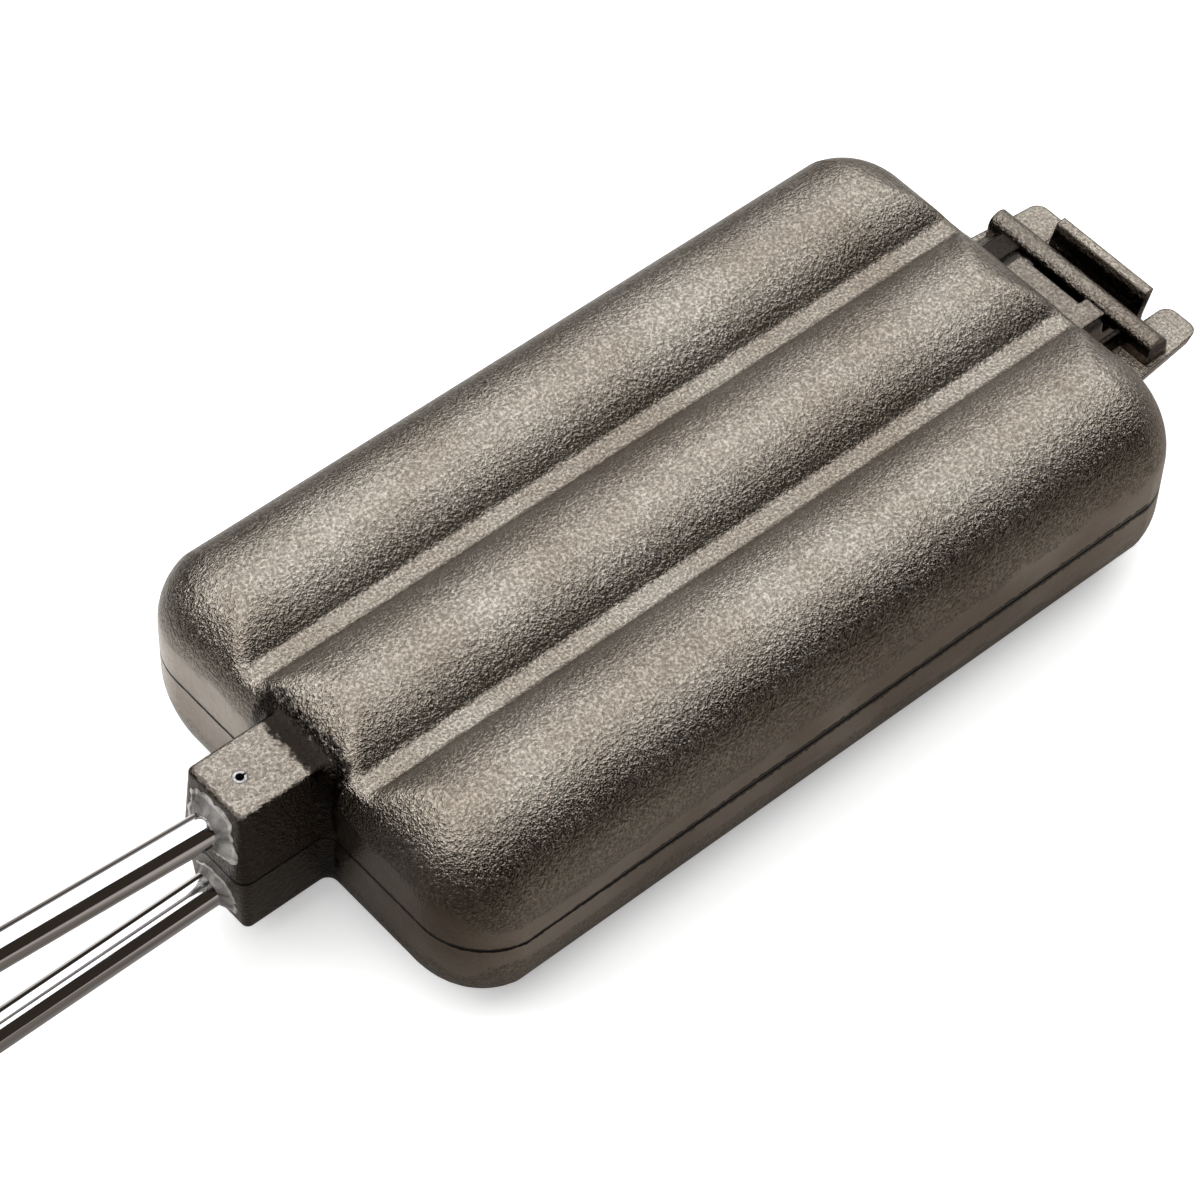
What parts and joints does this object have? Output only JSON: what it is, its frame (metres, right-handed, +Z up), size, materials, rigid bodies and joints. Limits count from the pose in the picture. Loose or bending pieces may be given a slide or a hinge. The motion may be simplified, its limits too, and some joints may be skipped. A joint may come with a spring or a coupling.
{
  "type": "campfire hot dog cooker",
  "caption": "Hinged cast iron cooking iron with long sausage troughs in each half, chromed handle rods, turned wooden grips and a swinging steel latch.",
  "frame": {"origin": "under the middle of the overall length, on the table that carries the lower half", "axes": "+X from the grips to the hinge, +Y across the troughs, +Z up"},
  "size_m": [0.724, 0.1142, 0.0944],
  "materials": {
    "cast_iron": "sand cast and oiled, grainy, with ground rims",
    "chrome_rod": "bright plated and polished",
    "wood_grip": "turned beech, clear varnish",
    "steel_fittings": "zinc plated",
    "cement": "dull grey sealing cement"
  },
  "bodies": {
    "lower_half": {"lower_casting": "cast_iron", "lower_rod": "chrome_rod", "lower_spring_pin": "steel_fittings", "lower_sealing_bead": "cement", "lower_grip": "wood_grip", "lower_grip_pin": "steel_fittings", "catch_screw": "steel_fittings"},
    "upper_half": {"upper_casting": "cast_iron", "upper_rod": "chrome_rod", "upper_spring_pin": "steel_fittings", "upper_sealing_bead": "cement", "upper_grip": "wood_grip", "upper_grip_pin": "steel_fittings", "latch_screw": "steel_fittings", "latch_spacer": "steel_fittings"},
    "latch": {"latch_hook": "steel_fittings"}
  },
  "joints": [
    {"name": "head_hinge", "type": "hinge", "parent": "lower_half", "child": "upper_half", "pos_m": [0.3479, 0, 0.02725], "axis": [0, 1, 0], "range_deg": [0, 175]},
    {"name": "latch_swing", "type": "hinge", "parent": "upper_half", "child": "latch", "pos_m": [-0.34128, 0.0142, 0.08135], "axis": [0, 1, 0], "range_deg": [-180, 84.9]}
  ]
}
